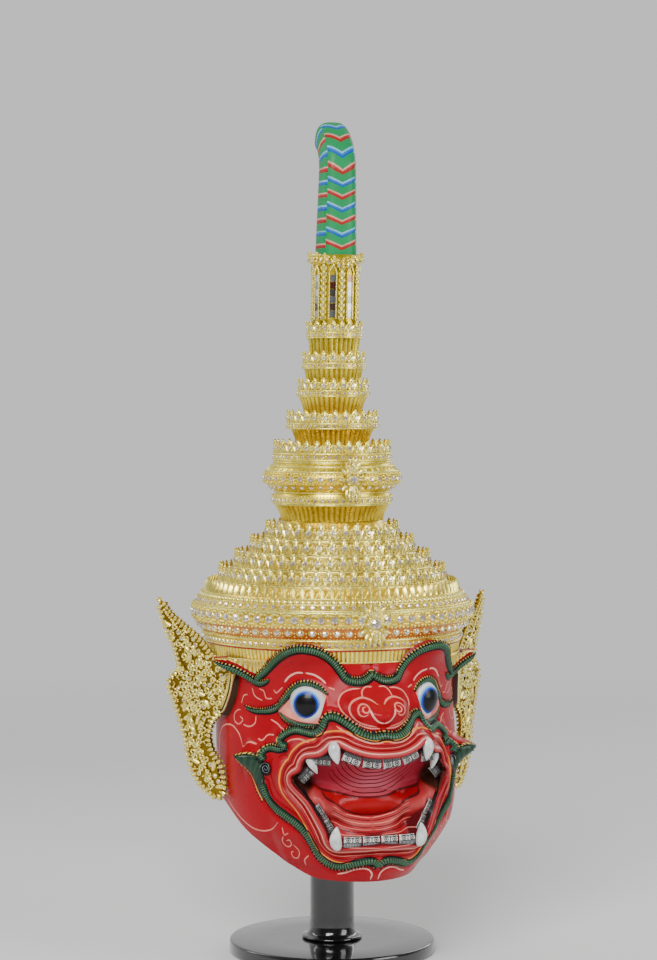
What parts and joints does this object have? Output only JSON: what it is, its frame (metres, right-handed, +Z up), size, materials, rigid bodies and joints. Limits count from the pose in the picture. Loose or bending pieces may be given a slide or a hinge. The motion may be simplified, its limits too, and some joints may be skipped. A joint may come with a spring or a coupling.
{
  "type": "theatre mask",
  "caption": "Red demon theatre mask from Thailand with a tiered gilded crown, flame ear ornaments and a painted finial, on a round post stand.",
  "frame": {"origin": "centre of the stand's underside", "axes": "+Z up along the stand's post and the crown's axis; the face looks along -Y; +X is at the right of a viewer who faces the mask"},
  "size_m": [0.3168, 0.2976, 0.7651],
  "materials": {
    "face_lacquer": "satin red lacquer with painted green, black and pink lines",
    "gilt": "bright gold leaf over moulded ornament set with glass stones",
    "finial_paint": "green paint with red and blue stepped bands",
    "shell_white": "polished shell white",
    "black_lacquer": "high-gloss black lacquer"
  },
  "bodies": {
    "root": {"stand_base": "black_lacquer", "stand_post": "black_lacquer", "mask_head": "face_lacquer", "crown_tiers": "gilt", "crown_spire": "gilt", "finial": "finial_paint", "ear_ornament_left": "gilt", "ear_ornament_right": "gilt", "crown_plaque": "gilt", "spire_plaque": "gilt", "fang_upper_inner_left": "shell_white", "fang_upper_inner_right": "shell_white", "fang_upper_outer_left": "shell_white", "fang_upper_outer_right": "shell_white", "fang_lower_left": "shell_white", "fang_lower_right": "shell_white"}
  },
  "joints": []
}
